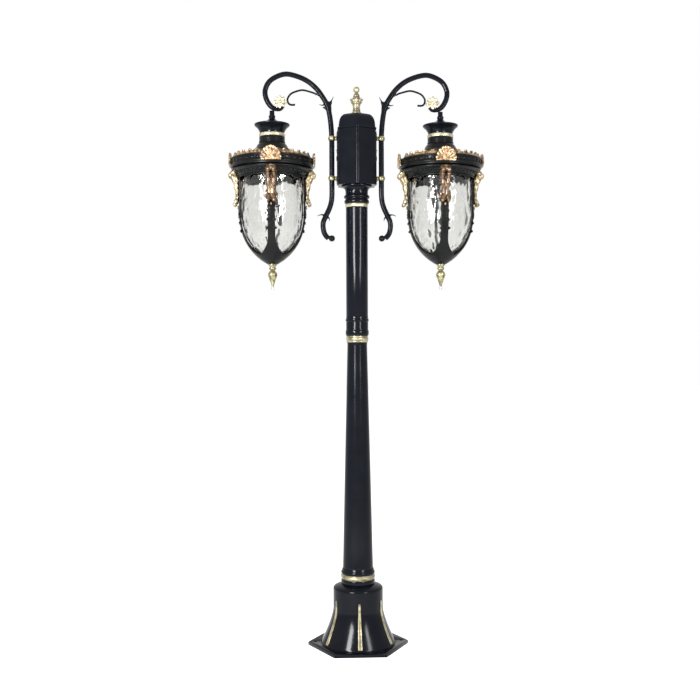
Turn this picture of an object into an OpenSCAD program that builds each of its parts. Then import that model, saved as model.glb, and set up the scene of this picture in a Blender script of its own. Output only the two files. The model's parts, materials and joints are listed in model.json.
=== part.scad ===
// Two-arm garden lamp post: a cast foot, a stacked column held by one tie tube,
// a hexagonal head box, two scroll arms, and two hanging lanterns with bell jars.
// Units are millimetres, +Z is up, the arms reach along X and the front faces -Y.

/* [Foot] */
// Foot plate, centre to corner
plate_r = 205; // [190:5:240]
// Foot plate thickness
plate_h = 12; // [8:1:16]
// Radius of the anchor hole circle
anchor_circle_r = 176; // [170:1:180]
// Anchor hole diameter
anchor_d = 14; // [10:1:18]
// Cable entry diameter through the foot plate
cable_entry_d = 60; // [30:5:80]
// Skirt radius at the foot plate
skirt_foot_r = 152; // [140:1:158]
// Skirt radius above its flare
skirt_top_r = 102; // [95:1:110]
// Skirt height
skirt_h = 238; // [190:2:290]
// Height of the skirt's hollow flare
flare_h = 140; // [110:2:170]
// Skirt wall thickness
skirt_wall = 7; // [5:1:10]
// Height of the skirt's rounded shoulder
shoulder_h = 18; // [12:1:24]
// Trim strip width at its foot
strip_foot_w = 17; // [12:1:24]
// Trim strip width at its top
strip_top_w = 8; // [5:1:12]
// Trim strip thickness
strip_t = 4; // [2:0.5:6]
// Trim strip height
strip_h = 170; // [120:5:180]

/* [Column] */
// Radius of the round neck on the skirt
neck_r = 69; // [60:1:75]
// Neck height
neck_h = 21; // [15:1:30]
// Height of the lowest gold ring
base_ring_h = 19; // [12:1:26]
// Collar height above the lowest gold ring
collar_h = 26; // [18:1:34]
// Lower column radius at its foot
lower_foot_r = 62; // [52:1:65]
// Lower column radius at its top
lower_top_r = 40; // [34:1:43]
// Lower column height
lower_h = 918; // [700:10:1200]
// Middle gold ring height
middle_ring_h = 26; // [18:1:34]
// Coupling height
coupling_h = 80; // [60:1:100]
// Upper column radius
upper_r = 44.5; // [40:0.5:50]
// Upper column height
upper_h = 442; // [350:2:550]
// Column wall thickness
column_wall = 4; // [3:0.5:6]
// How far the rings and beads stand out from the column
ring_proud = 3; // [1:0.5:5]
// Upper gold ring height
capital_ring_h = 15; // [10:1:20]
// Capital height
capital_h = 73; // [60:1:90]

/* [Head] */
// Head box width across flats
box_af = 151; // [140:1:170]
// Head box height
box_h = 224; // [200:2:270]
// Head box wall thickness
box_wall = 4; // [3:0.5:6]
// Radius of the head box's upright edges
box_edge_r = 11; // [6:1:16]
// How far the lid overhangs the box
lid_overhang = 3; // [2:0.5:6]
// Lid height
lid_h = 63; // [45:1:80]
// Top finial height
finial_h = 118; // [90:2:150]
// Top finial's largest radius
finial_r = 26.5; // [20:0.5:32]

/* [Arms] */
// Lantern axis, from the post's axis
lamp_x = 343; // [330:1:400]
// Arm bar thickness, in the plane of the arm
bar_w = 22; // [18:1:26]
// Arm bar thickness, front to back
bar_t = 18; // [14:1:22]
// Gap between the arm bar and the box's flat side
bar_gap = 14.5; // [10:0.5:24]
// Mounting plate thickness
bracket_t = 5; // [4:0.5:7]
// Mounting plate width
bracket_w = 30; // [24:1:44]
// Radius of the ball clamps
clamp_r = 15; // [14:0.5:18]
// Height of the lower clamp above the box's floor, and of the upper one below its lid
clamp_inset = 31; // [26:1:45]
// Thickness of the slim inner scroll
slim_w = 8; // [6:0.5:11]
// Rosette radius
rosette_r = 27.5; // [22:0.5:32]

/* [Lantern] */
// Stem radius
stem_r = 10; // [8:0.5:13]
// Stem height
stem_h = 30; // [24:1:45]
// Cap rim radius
cap_r = 71; // [60:1:85]
// Cap height
cap_h = 63; // [55:1:75]
// Hood neck radius
hood_neck_r = 52; // [44:1:58]
// Height of the gold ring on the hood neck
neck_ring_h = 14; // [10:1:20]
// Hood height
hood_h = 129; // [115:1:150]
// Hood rim radius
hood_r = 171; // [160:1:190]
// Height of the hood's upright rim
rim_h = 27; // [20:1:34]
// Hood wall thickness
hood_wall = 4; // [3:0.5:5]
// Radius of the bulb opening in the hood's floor
hood_mouth_r = 112; // [90:1:118]
// Seal thickness
seal_t = 3; // [2:0.5:5]
// Cage radius
cage_r = 135; // [125:1:150]
// Height of the cage's ring
cage_ring_h = 27; // [20:1:36]
// Straight height of the cage, below the hood's floor
cage_straight_h = 161; // [130:1:190]
// Height of the cage's bell
bell_h = 233; // [190:1:270]
// Cage thickness
cage_t = 8; // [6:0.5:10]
// Rib width
rib_w = 30; // [22:1:40]
// Width of the petals where they meet the cup
petal_w = 110; // [90:1:114]
// Clearance between the jar and the cage
jar_clearance = 0.5; // [0.3:0.1:0.8]
// Jar glass thickness
glass_t = 4; // [3:0.5:6]
// Clearance of the cage on its guide pins
pin_clearance = 0.05; // [0.03:0.01:0.1]
// Height of the gold ornaments
ornament_h = 151; // [120:1:160]
// Width of the gold ornaments
ornament_w = 45; // [36:1:56]
// Shell medallion radius
shell_r = 45; // [36:1:52]
// Bottom finial height
drop_h = 106; // [90:1:130]
// Bottom finial's ball radius
drop_r = 20; // [15:0.5:24]
// Bulb radius
bulb_r = 22.5; // [18:0.5:30]

/* [Hidden] */
// $fn only sets how round the drawn curves look
$fn = 96;
black = [0.09, 0.09, 0.10];
gold = [0.80, 0.62, 0.34];
pale_gold = [0.88, 0.80, 0.62];
steel = [0.66, 0.67, 0.69];

// Levels, each one the top of the piece below it
skirt_z = plate_h;
neck_z = skirt_z + skirt_h;
base_ring_z = neck_z + neck_h;
collar_z = base_ring_z + base_ring_h;
lower_z = collar_z + collar_h;
middle_ring_z = lower_z + lower_h;
coupling_z = middle_ring_z + middle_ring_h;
upper_z = coupling_z + coupling_h;
capital_ring_z = upper_z + upper_h;
capital_z = capital_ring_z + capital_ring_h;
box_z = capital_z + capital_h;
lid_z = box_z + box_h;
top_z = lid_z + lid_h;

// Tie tube that clamps the stack from the skirt to the head box
tie_r = 12;
tie_bore_r = 9;
tie_clearance = 0.3;
tie_hole_r = tie_r + tie_clearance;
web_t = 8;
nut_r = 21;
nut_h = 14;
tie_end = 6;
box_floor_t = 6;

// Screws that hold the skirt on the foot plate
plate_screw_r = 4;
plate_screw_clearance = 0.2;
plate_boss_r = 11;
plate_boss_h = 45;
plate_screw_at = skirt_foot_r - 32;

// Arm bar, its mounting plate and its screws
box_flat = box_af / 2;
bar_x = box_flat + bar_gap + bar_w / 2;
bracket_x = box_flat + bracket_t;
bracket_margin = 8;
clamp_clearance = 0.4;
arm_screw_r = 3;
arm_screw_clearance = 0.2;
arm_screw_head_r = 5.5;
arm_screw_head_h = 4;
span = lamp_x - bar_x;
low_clamp_z = box_z + clamp_inset;
high_clamp_z = lid_z - clamp_inset;
wire_hole_r = 7;
grommet_wall = 2;
grommet_lip = 2;

// Lantern levels: the stem hangs from the arm's end
stem_top_z = lid_z + 79;
cap_top_z = stem_top_z - stem_h;
cap_z = cap_top_z - cap_h;
hood_top_z = cap_z - neck_ring_h;
hood_z = hood_top_z - hood_h;
nipple_r = 5;
nipple_bore_r = 3.5;
nipple_clearance = 0.1;
nipple_hole_r = nipple_r + nipple_clearance;
nipple_nut_r = 11;
nipple_nut_h = 7;
holder_r = 21;
holder_h = 62;
socket_r = 14;
socket_h = 34;
thread_r = 13.2;
bulb_h = 66;
jar_r = cage_r - cage_t - jar_clearance;
// The ribs open into petals and reach the cup at these shares of the bell's height
petal_share = 0.53;
cup_share = 0.84;
// The cup closes a little before the bell's own end, and the jar stands on its floor
bell_end = 0.965;
cup_h = bell_h * bell_end;
jar_bell_h = cup_h - cage_t - jar_clearance;
guide_pin_r = 2;
guide_pin_l = 18;
bell_p = 2.6;
bell_q = 0.78;

// Helpers -------------------------------------------------------------------

function mix(a, b, t) = a + (b - a) * t;

// Point at share t of the smooth curve between p[i] and p[i + 1]
function curve_point(p, i, t) =
    let (
        a = p[max(i - 1, 0)],
        b = p[i],
        c = p[i + 1],
        d = p[min(i + 2, len(p) - 1)]
    )
    0.5 * (2 * b + (c - a) * t + (2 * a - 5 * b + 4 * c - d) * t * t
        + (3 * b - a - 3 * c + d) * t * t * t);

// Smooth curve through all the points of p
function smooth(p, steps) = [
    for (i = [0 : len(p) - 2])
        for (s = [0 : steps - 1])
            curve_point(p, i, s / steps),
    p[len(p) - 1]
];

// Direction of a path at its point k
function heading(p, k) =
    let (d = p[min(k + 1, len(p) - 1)] - p[max(k - 1, 0)])
    d / norm(d);

// Oval ring round point k of a path in the XZ plane
function oval(p, k, half_w, half_t, sides) =
    let (h = heading(p, k))
    [
        for (s = [0 : sides - 1])
            let (a = 360 * s / sides)
            [
                p[k][0] - h[1] * half_w * cos(a),
                -half_t * sin(a),
                p[k][1] + h[0] * half_w * cos(a)
            ]
    ];

// Closed solid over a list of rings with equal numbers of points
module skin(rings) {
    n = len(rings[0]);
    last = len(rings) - 1;
    walls = [
        for (k = [0 : last - 1])
            for (s = [0 : n - 1])
                let (e = (s + 1) % n)
                each [
                    [k * n + s, (k + 1) * n + s, (k + 1) * n + e],
                    [k * n + s, (k + 1) * n + e, k * n + e]
                ]
    ];
    first_cap = [for (s = [0 : n - 1]) s];
    last_cap = [for (s = [n - 1 : -1 : 0]) last * n + s];
    polyhedron([for (r = rings) each r], concat(walls, [first_cap, last_cap]));
}

// Bar along a path in the XZ plane, with its half sizes changing from end to end
module bar(path, w0, w1, thin, sides) {
    n = len(path) - 1;
    skin([
        for (k = [0 : n])
            let (half = mix(w0, w1, k / n) / 2)
            oval(path, k, half, half * thin, sides)
    ]);
}

// Hexagon with round corners, the first corner at angle turn
function hex_outline(across_flats, edge_r, turn) =
    let (reach = (across_flats / 2 - edge_r) / cos(30))
    [
        for (c = [0 : 5])
            for (s = [-2 : 2])
                let (at = turn + 60 * c, a = at + 15 * s)
                [reach * cos(at) + edge_r * cos(a), reach * sin(at) + edge_r * sin(a)]
    ];
function raised(outline, z) = [for (p = outline) [p[0], p[1], z]];

// Puts what it holds on the right for side 1 and mirrors it to the left for side -1
module on_side(side) {
    if (side < 0)
        mirror([1, 0, 0]) children();
    else
        children();
}

// Turned ring with a round-over top and bottom
module turned_ring(r, bore_r, h, soft) {
    rotate_extrude()
        polygon([
            [bore_r, 0], [r - soft, 0], [r, soft], [r, h - soft], [r - soft, h], [bore_r, h]
        ]);
}

module around(count, first) {
    for (k = [0 : count - 1])
        rotate([0, 0, first + 360 / count * k])
            children();
}

// Foot ----------------------------------------------------------------------

module foot_plate() {
    color(black)
        difference() {
            linear_extrude(plate_h)
                circle(r = plate_r, $fn = 6);
            translate([0, 0, -1])
                cylinder(d = cable_entry_d, h = plate_h + 2);
            around(6, 0)
                translate([anchor_circle_r, 0, -1])
                    cylinder(d = anchor_d, h = plate_h + 2);
            around(3, 0)
                translate([plate_screw_at, 0, 0])
                    plate_screw_space();
        }
}

// Room for one countersunk screw, head down
module plate_screw_space() {
    hole_r = plate_screw_r + plate_screw_clearance;
    translate([0, 0, -1])
        cylinder(r = hole_r, h = plate_h + 2);
    translate([0, 0, -1])
        cylinder(r = 2 * plate_screw_r + plate_screw_clearance, h = 1 + plate_screw_r);
}

module plate_screws() {
    color(steel)
        around(3, 0)
            translate([plate_screw_at, 0, 0.5]) {
                cylinder(r = 2 * plate_screw_r, h = plate_screw_r - 0.5);
                cylinder(r = plate_screw_r, h = plate_h + plate_boss_h - 8);
            }
}

// Radius of the skirt at height z above the plate
function skirt_r(z) =
    skirt_top_r + (skirt_foot_r - skirt_top_r) * pow(max(0, 1 - z / flare_h), 1.4);
skirt_steps = 12;

// Outline of the skirt's flare above its foot, moved outwards by grow
function skirt_outline(grow) = [
    for (k = [1 : skirt_steps])
        let (z = flare_h * k / skirt_steps)
        [skirt_r(z) + grow, z]
];

// The skirt's bell from height low to height top, moved outwards by grow
module skirt_solid(grow, low, top) {
    rise = shoulder_h / 3;
    rotate_extrude()
        polygon(concat(
            [[0, low], [skirt_r(0) + grow, low]],
            skirt_outline(grow),
            [
                [skirt_top_r + grow, top - shoulder_h],
                [skirt_top_r + grow - 5, top - shoulder_h + rise],
                [neck_r + grow + 8, top], [0, top]
            ]
        ));
}

module base_skirt() {
    color(black)
        translate([0, 0, skirt_z])
            difference() {
                union() {
                    difference() {
                        skirt_solid(0, 0, skirt_h);
                        skirt_solid(-skirt_wall, -1, skirt_h - web_t);
                    }
                    intersection() {
                        skirt_solid(-1, 0, skirt_h);
                        around(3, 0)
                            translate([plate_screw_at, 0, 0])
                                cylinder(r = plate_boss_r, h = plate_boss_h);
                    }
                }
                translate([0, 0, skirt_h - web_t - 1])
                    cylinder(r = tie_hole_r, h = web_t + 2);
                around(3, 0)
                    translate([plate_screw_at, 0, -1])
                        cylinder(r = plate_screw_r + plate_screw_clearance, h = plate_boss_h + 2);
            }
}

// Six tapered strips that follow the skirt's flare
module skirt_strips() {
    foot = 8;
    color(gold)
        translate([0, 0, skirt_z])
            intersection() {
                difference() {
                    skirt_solid(strip_t, 0, skirt_h);
                    skirt_solid(0, 0, skirt_h);
                }
                around(6, 30)
                    translate([skirt_top_r / 2, 0, 0])
                        rotate([90, 0, 90])
                            linear_extrude(skirt_foot_r)
                                polygon([
                                    [-strip_foot_w / 2, foot], [strip_foot_w / 2, foot],
                                    [strip_top_w / 2, foot + strip_h],
                                    [-strip_top_w / 2, foot + strip_h]
                                ]);
            }
}

// Column --------------------------------------------------------------------

module base_neck() {
    color(black)
        translate([0, 0, neck_z])
            turned_ring(neck_r, tie_hole_r, neck_h, 2);
}

module base_ring() {
    color(gold)
        translate([0, 0, base_ring_z])
            turned_ring(neck_r + 1, tie_hole_r, base_ring_h, 3);
}

module base_collar() {
    color(black)
        translate([0, 0, collar_z])
            rotate_extrude()
                polygon([
                    [tie_hole_r, 0], [neck_r - 2, 0], [neck_r, 4], [neck_r, collar_h * 0.45],
                    [neck_r - 2, collar_h * 0.75], [lower_foot_r + 1, collar_h], [tie_hole_r, collar_h]
                ]);
}

// Tube with a web at each end that centres the tie tube
module column_tube(r0, r1, h) {
    rotate_extrude()
        polygon([
            [tie_hole_r, 0], [r0, 0], [r1, h], [tie_hole_r, h], [tie_hole_r, h - web_t],
            [r1 - column_wall, h - web_t], [r0 - column_wall, web_t], [tie_hole_r, web_t]
        ]);
}

module lower_column() {
    color(black)
        translate([0, 0, lower_z])
            column_tube(lower_foot_r, lower_top_r, lower_h);
}

module middle_ring() {
    color(gold)
        translate([0, 0, middle_ring_z])
            turned_ring(upper_r + 0.5, tie_hole_r, middle_ring_h, 4);
}

// Coupling: two beads with a waist between them
module coupling() {
    bead = coupling_h * 0.18;
    color(black)
        translate([0, 0, coupling_z])
            difference() {
                union() {
                    cylinder(r = upper_r + 1, h = coupling_h);
                    for (z = [bead / 2, coupling_h - bead])
                        translate([0, 0, z - bead / 2])
                            turned_ring(upper_r + ring_proud, tie_hole_r, bead, bead * 0.3);
                }
                translate([0, 0, -1])
                    cylinder(r = tie_hole_r, h = coupling_h + 2);
            }
}

module upper_column() {
    color(black)
        translate([0, 0, upper_z])
            column_tube(upper_r, upper_r, upper_h);
}

module capital_ring() {
    color(pale_gold)
        translate([0, 0, capital_ring_z])
            turned_ring(upper_r + 0.5, tie_hole_r, capital_ring_h, 3);
}

module capital() {
    flare_r = min(box_af / 2 - 8, upper_r + 18);
    color(black)
        translate([0, 0, capital_z])
            rotate_extrude()
                polygon([
                    [tie_hole_r, 0], [upper_r + 4, 0], [upper_r + 6, 3], [upper_r + 6, 15],
                    [upper_r + 2, 19], [upper_r + 8, 24], [upper_r + 8.5, 27], [upper_r + 8, 30],
                    [upper_r + 2, 36], [upper_r + 1.5, capital_h - 20],
                    [upper_r + 6, capital_h - 11], [flare_r, capital_h - 4],
                    [flare_r, capital_h], [tie_hole_r, capital_h]
                ]);
}

// Head ----------------------------------------------------------------------

// Where the three screws of a mounting plate sit, above the head box's floor
arm_screw_levels = [bracket_margin + 8, box_h / 2 + 30, box_h - bracket_margin - 8];

module through_side(z, r) {
    translate([box_flat - box_wall - 2, 0, z])
        rotate([0, 90, 0])
            cylinder(r = r, h = box_wall + bracket_t + 4);
}

module head_box() {
    color(black)
        translate([0, 0, box_z])
            difference() {
                linear_extrude(box_h)
                    polygon(hex_outline(box_af, box_edge_r, 30));
                translate([0, 0, box_floor_t])
                    linear_extrude(box_h)
                        polygon(hex_outline(box_af - 2 * box_wall, box_edge_r - box_wall / 2, 30));
                translate([0, 0, -1])
                    cylinder(r = tie_hole_r, h = box_floor_t + 2);
                for (side = [-1, 1])
                    on_side(side) {
                        for (z = arm_screw_levels)
                            through_side(z, arm_screw_r + arm_screw_clearance);
                        through_side(box_h / 2, wire_hole_r);
                    }
            }
}

module head_lid() {
    spigot_af = box_af - 2 * box_wall - 1;
    lip_af = box_af + 2 * lid_overhang;
    color(black)
        translate([0, 0, lid_z]) {
            difference() {
                skin([
                    for (step = [
                        [0, lip_af], [7, lip_af], [9, box_af - 2], [lid_h * 0.4, box_af - 4],
                        [lid_h * 0.6, box_af - 9], [lid_h * 0.78, box_af - 21],
                        [lid_h * 0.92, box_af - 38], [lid_h, box_af - 52]
                    ])
                        raised(hex_outline(step[1], box_edge_r, 30), step[0])
                ]);
                translate([0, 0, -1])
                    cylinder(r = box_af / 2 - 22, h = lid_h - 7);
            }
            translate([0, 0, -6])
                difference() {
                    linear_extrude(6)
                        polygon(hex_outline(spigot_af, box_edge_r - box_wall / 2, 30));
                    translate([0, 0, -1])
                        cylinder(r = box_af / 2 - 22, h = 8);
                }
        }
}

module top_finial() {
    ball_r = 14;
    color(gold)
        translate([0, 0, top_z])
            union() {
                rotate_extrude()
                    polygon([
                        [0, 0], [14, 0], [14, 4], [20, 5], [20, 14], [16.5, 18], [16, 44],
                        [19, 48], [finial_r - 2, 51], [finial_r, 54], [finial_r, 66],
                        [finial_r - 3, 69], [13, 71], [12, 80], [9, finial_h - 2 * ball_r],
                        [7, finial_h - 2 * ball_r + 4], [0, finial_h - 2 * ball_r + 4]
                    ]);
                translate([0, 0, finial_h - ball_r])
                    sphere(r = ball_r);
            }
}

// Inside --------------------------------------------------------------------

module tie_tube() {
    low = neck_z - web_t - nut_h - tie_end;
    color(steel)
        translate([0, 0, low])
            difference() {
                cylinder(r = tie_r, h = box_z + box_floor_t + nut_h + tie_end - low);
                translate([0, 0, -1])
                    cylinder(r = tie_bore_r, h = box_z - low + 60);
            }
}

module hex_nut(r, bore_r, h) {
    difference() {
        cylinder(r = r, h = h, $fn = 6);
        translate([0, 0, -1])
            cylinder(r = bore_r, h = h + 2);
    }
}

module tie_nuts() {
    color(steel)
        for (z = [neck_z - web_t - nut_h, box_z + box_floor_t])
            translate([0, 0, z])
                hex_nut(nut_r, tie_r + 0.05, nut_h);
}

module terminal_block() {
    color([0.85, 0.85, 0.82])
        translate([-27, 34, box_z + box_floor_t])
            difference() {
                cube([54, 18, 22]);
                for (k = [0 : 2])
                    translate([11 + 16 * k, 9, 12])
                        cylinder(r = 3, h = 12);
            }
}

module bracket_screws() {
    color(steel)
        for (side = [-1, 1], z = arm_screw_levels)
            on_side(side)
                translate([bracket_x, 0, box_z + z])
                    rotate([0, 90, 0]) {
                        cylinder(r = arm_screw_head_r, h = arm_screw_head_h);
                        translate([0, 0, -bracket_t - box_wall - 4])
                            cylinder(r = arm_screw_r, h = bracket_t + box_wall + 5);
                    }
}

module grommets() {
    color([0.05, 0.05, 0.05])
        for (side = [-1, 1])
            on_side(side)
                translate([0, 0, box_z + box_h / 2])
                    rotate([0, 90, 0])
                        difference() {
                            union() {
                                translate([0, 0, box_flat - box_wall])
                                    cylinder(r = wire_hole_r - 0.05, h = box_wall + bracket_t);
                                translate([0, 0, bracket_x])
                                    cylinder(r = wire_hole_r + 2, h = grommet_lip);
                            }
                            translate([0, 0, box_flat - box_wall - 1])
                                cylinder(r = wire_hole_r - grommet_wall, h = 30);
                        }
}

// Arms ----------------------------------------------------------------------

module bracket() {
    low = box_z + bracket_margin / 2;
    color(black)
        difference() {
            translate([box_flat, -bracket_w / 2, low])
                cube([bracket_t, bracket_w, box_h - bracket_margin]);
            for (z = arm_screw_levels)
                translate([0, 0, box_z])
                    through_side(z, arm_screw_r + arm_screw_clearance);
            translate([0, 0, box_z])
                through_side(box_h / 2, wire_hole_r);
        }
}

module clamps() {
    color(gold)
        for (z = [low_clamp_z, high_clamp_z])
            translate([bar_x, 0, z])
                difference() {
                    union() {
                        sphere(r = clamp_r);
                        rotate([0, -90, 0])
                            cylinder(r = clamp_r * 0.55, h = bar_x - bracket_x);
                    }
                    translate([0, 0, -clamp_r - 1])
                        cylinder(r = bar_w / 2 + clamp_clearance, h = 2 * clamp_r + 2);
                }
}

// The arm's route: [share of the way out to the lantern, height]. The foot curl's heights
// count from the box's floor, the arch's heights from the box's top.
foot_curl = [
    [0.06, -213], [0.105, -202], [0.14, -184], [0.15, -151], [0.105, -123], [0.048, -94],
    [0.012, -66], [0, -37], [0, 8], [0, 60]
];
arch = [
    [0, -90], [0, -31], [0.014, 25], [0.042, 74], [0.087, 110], [0.157, 139], [0.248, 169],
    [0.385, 198], [0.554, 218], [0.756, 229], [0.921, 218], [1.05, 196], [1.112, 163],
    [1.104, 135], [1.06, 111], [1, 94], [0.92, 86], [0.85, 87], [0.81, 98]
];
arm_steps = 3;
weld_gap = 0.6;
function out(share) = bar_x + share * span;
function foot_points(p) = [for (q = p) [out(q[0]), box_z + q[1]]];
function arch_points(p) = [for (q = p) [out(q[0]), lid_z + q[1]]];
arm_path = smooth(concat(foot_points(foot_curl), arch_points(arch)), arm_steps);
arm_end = len(arm_path) - 1;
// The bar narrows over its last rings
function arm_half(k) = bar_w / 2 * min(1, 0.5 + 0.05 * (arm_end - k));

// Leaf tip on one side of the bar at ring k: it stands off along the bar's normal by
// length and leans along the bar by lean
module leaf_tip(k, side, length, lean) {
    h = heading(arm_path, k);
    away = side * [-h[1], h[0]];
    root = arm_path[k] + away * (bar_w / 2 + weld_gap);
    bar(smooth([
        root, root + away * length * 0.25 + h * lean * 0.05,
        root + away * length * 0.7 + h * lean * 0.45, root + away * length + h * lean
    ], 3), 8, 3, 0.8, 8);
}

module arm() {
    tip_k = arm_steps * (len(foot_curl) + 4);
    low_tip_k = arm_steps * 4;
    ball_r = 13;
    color(black) {
        skin([for (k = [0 : arm_end]) oval(arm_path, k, arm_half(k), bar_t / 2, 10)]);
        // Ball on the foot curl's end
        translate([out(0.06) - ball_r - weld_gap, 0, box_z - 213])
            sphere(r = ball_r);
        leaf_tip(tip_k, 1, 26, 16);
        leaf_tip(tip_k, -1, 17, 9);
        leaf_tip(low_tip_k, -1, 20, -15);
        leaf_tip(low_tip_k, 1, 11, -13);
    }
}

module slim_scroll() {
    color(black)
        bar(smooth(arch_points([
            [0.251, 146], [0.29, 152], [0.368, 158], [0.47, 164], [0.55, 162], [0.67, 151],
            [0.727, 135], [0.74, 123], [0.72, 109], [0.67, 104], [0.612, 105]
        ]), 3), slim_w, slim_w * 1.1, 1, 8);
}

module rosette() {
    color(pale_gold)
        translate([out(0.868), 0, lid_z + 114])
            rotate([90, 0, 0])
                rotate_extrude()
                    polygon([
                        [0, -bar_t / 2 - 8], [9, -bar_t / 2 - 8], [rosette_r, -bar_t / 2 - 3],
                        [rosette_r, -bar_t / 2], [7, -bar_t / 2], [7, bar_t / 2],
                        [rosette_r, bar_t / 2], [rosette_r, bar_t / 2 + 3],
                        [9, bar_t / 2 + 8], [0, bar_t / 2 + 8]
                    ]);
}

// Lantern -------------------------------------------------------------------

module at_lamp(z) {
    translate([lamp_x, 0, z])
        children();
}

module stem() {
    color(black)
        at_lamp(cap_top_z)
            rotate_extrude()
                polygon([
                    [nipple_hole_r, 0], [stem_r + 3, 0], [stem_r + 3, 10], [stem_r, 14],
                    [stem_r, stem_h], [nipple_hole_r, stem_h]
                ]);
}

module nipple() {
    low = hood_top_z - 30;
    color(steel)
        at_lamp(low)
            difference() {
                cylinder(r = nipple_r, h = stem_top_z - low - 2);
                translate([0, 0, -1])
                    cylinder(r = nipple_bore_r, h = stem_top_z);
            }
}

module cap() {
    color(black)
        at_lamp(cap_z)
            rotate_extrude()
                polygon([
                    [nipple_hole_r, cap_h], [12, cap_h], [cap_r, 43], [cap_r, 38], [61, 26],
                    [55, 14], [hood_neck_r - 1, 2], [hood_neck_r - 1, 0], [nipple_hole_r, 0],
                    [nipple_hole_r, 5], [46, 5], [57, 30], [60, 38], [nipple_hole_r, 54]
                ]);
}

module neck_ring() {
    color(gold)
        at_lamp(hood_top_z)
            turned_ring(hood_neck_r + 0.5, nipple_hole_r, neck_ring_h, 2);
}

// The hood's outside, from the rim up to the neck, as [radius, height]
slope_r = hood_r - 12;
slope_z = rim_h + 14;
throat_r = hood_neck_r + 24;
throat_z = hood_h - 58;
hood_outside = [
    [hood_r - 4, 0], [hood_r - 4, 8], [hood_r, 11], [hood_r, 11 + rim_h], [slope_r, slope_z],
    [mix(slope_r, throat_r, 0.5), mix(slope_z, throat_z, 0.38)], [throat_r, throat_z],
    [hood_neck_r + 14.5, throat_z + 13], [hood_neck_r + 8, throat_z + 25],
    [hood_neck_r, throat_z + 33], [hood_neck_r, hood_h]
];

module hood() {
    inside = [for (k = [len(hood_outside) - 2 : -1 : 4]) hood_outside[k] - [hood_wall, hood_wall]];
    color(black)
        at_lamp(hood_z)
            rotate_extrude()
                polygon(concat(
                    [[hood_mouth_r, 0]],
                    hood_outside,
                    [[nipple_hole_r, hood_h], [nipple_hole_r, hood_h - hood_wall]],
                    [[hood_neck_r - hood_wall, hood_h - hood_wall]],
                    inside,
                    [[hood_r - hood_wall, 9 + rim_h], [hood_r - hood_wall, 13]],
                    [[hood_r - 2 * hood_wall, hood_wall], [hood_mouth_r, hood_wall]]
                ));
}

// Solid of the hood's outside, to fit trim to
module hood_solid() {
    rotate_extrude()
        polygon(concat([[0, 0]], hood_outside, [[0, hood_h]]));
}

// Fan-shaped medallions that stand round the rim
module shells() {
    depth = 7;
    color(gold)
        at_lamp(hood_z)
            difference() {
                around(4, 0)
                    translate([hood_r - 12, 0, 2])
                        rotate([90, 0, 90])
                            linear_extrude(12 + depth)
                                intersection() {
                                    translate([0, shell_r / 2])
                                        circle(r = shell_r);
                                    translate([-shell_r, 0])
                                        square([2 * shell_r, 2 * shell_r]);
                                }
                hood_solid();
            }
}

// Leaf bands that lie on the hood's slope between the medallions
module roof_leaves() {
    thick = 5;
    middle_r = mix(slope_r, throat_r, 0.5);
    middle_z = mix(slope_z, throat_z, 0.38);
    color(gold)
        at_lamp(hood_z)
            around(4, 20)
                rotate_extrude(angle = 50)
                    polygon([
                        [slope_r - 2, mix(slope_z, middle_z, 2 / (slope_r - middle_r))],
                        [middle_r, middle_z],
                        [throat_r + 6, mix(throat_z, middle_z, 6 / (middle_r - throat_r))],
                        [throat_r + 8, throat_z + thick - 2], [middle_r, middle_z + thick],
                        [slope_r - 2, slope_z + thick - 1]
                    ]);
}

module seal() {
    color([0.06, 0.06, 0.06])
        at_lamp(hood_z - seal_t)
            difference() {
                cylinder(r = cage_r - 1, h = seal_t);
                translate([0, 0, -1])
                    cylinder(r = hood_mouth_r, h = seal_t + 2);
                around(4, 45)
                    translate([cage_r - cage_t / 2, 0, -1])
                        cylinder(r = guide_pin_r + pin_clearance, h = seal_t + 2);
            }
}

module holder() {
    color([0.92, 0.91, 0.88])
        at_lamp(hood_top_z - 30 - holder_h + 16)
            difference() {
                cylinder(r = holder_r, h = holder_h - 16);
                translate([0, 0, -1])
                    cylinder(r = socket_r, h = socket_h + 1);
                cylinder(r = 3, h = holder_h);
            }
}

module bulb() {
    rim_z = hood_top_z - 30 - holder_h + 16;
    color([0.96, 0.95, 0.9])
        at_lamp(rim_z)
            union() {
                cylinder(r = thread_r, h = socket_h - 6);
                rotate_extrude()
                    intersection() {
                        translate([0, 2 - bulb_h / 2])
                            scale(1)
                                circle(r = bulb_r * 1.02);
                        translate([0, -bulb_h])
                            square([bulb_r, bulb_h]);
                    }
                translate([0, 0, -bulb_h / 2])
                    cylinder(r1 = bulb_r * 0.9, r2 = thread_r + 2, h = bulb_h / 2);
            }
}

// Bell outline below the hood: straight at first, then closing to the axis
function bell_outline(r, straight, depth, steps, end) = concat(
    [[r, -straight]],
    [
        for (k = [1 : steps])
            let (t = end * k / steps)
            [r * pow(1 - pow(t, bell_p), bell_q), -straight - depth * t]
    ]
);
bell_steps = 14;

module bell_shell(low_end) {
    outer = bell_outline(cage_r, cage_straight_h, bell_h, bell_steps, bell_end);
    inner = bell_outline(cage_r - cage_t, cage_straight_h, cup_h - cage_t, bell_steps, 1);
    rotate_extrude()
        difference() {
            polygon(concat([[0, -seal_t], [cage_r, -seal_t]], outer, [[0, low_end]]));
            polygon(concat([[0, -seal_t + 1], [cage_r - cage_t, -seal_t + 1]], inner));
        }
}

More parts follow.
